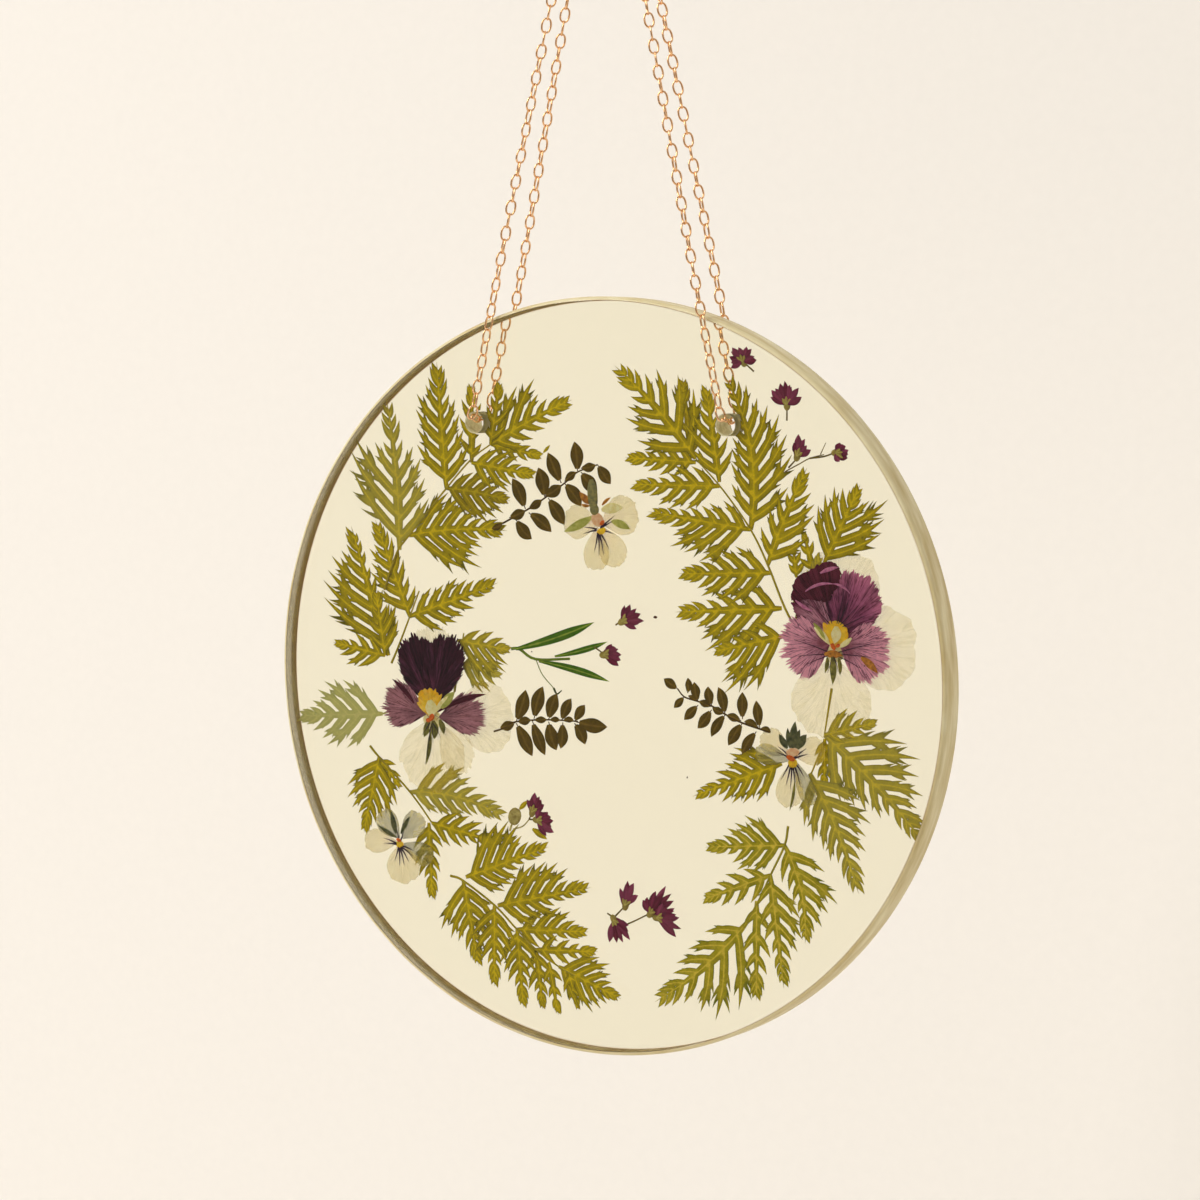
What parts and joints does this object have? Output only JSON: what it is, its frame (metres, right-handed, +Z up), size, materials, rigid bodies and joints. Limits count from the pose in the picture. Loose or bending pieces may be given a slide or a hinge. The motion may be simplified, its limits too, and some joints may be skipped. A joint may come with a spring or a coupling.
{
  "type": "pressed flower resin disc",
  "caption": "Round clear resin disc for pressed flowers and leaves, hung through two drilled holes by loops of fine chain from one ring.",
  "frame": {"origin": "inner top of the hanging ring, where a hook, nail or peg carries it", "axes": "+Z up; the disc hangs below in the XZ plane with its front face towards -Y"},
  "size_m": [0.2, 0.016, 0.3506],
  "materials": {
    "clear_resin": "clear cast resin, polished, faint yellow-green tint",
    "gold_plate": "gold plated, bright"
  },
  "bodies": {
    "root": {"resin_disc": "clear_resin", "hanging_ring": "gold_plate", "left_chain_front": "gold_plate", "left_chain_back": "gold_plate", "left_chain_in_hole": "gold_plate", "right_chain_front": "gold_plate", "right_chain_back": "gold_plate", "right_chain_in_hole": "gold_plate"}
  },
  "joints": []
}
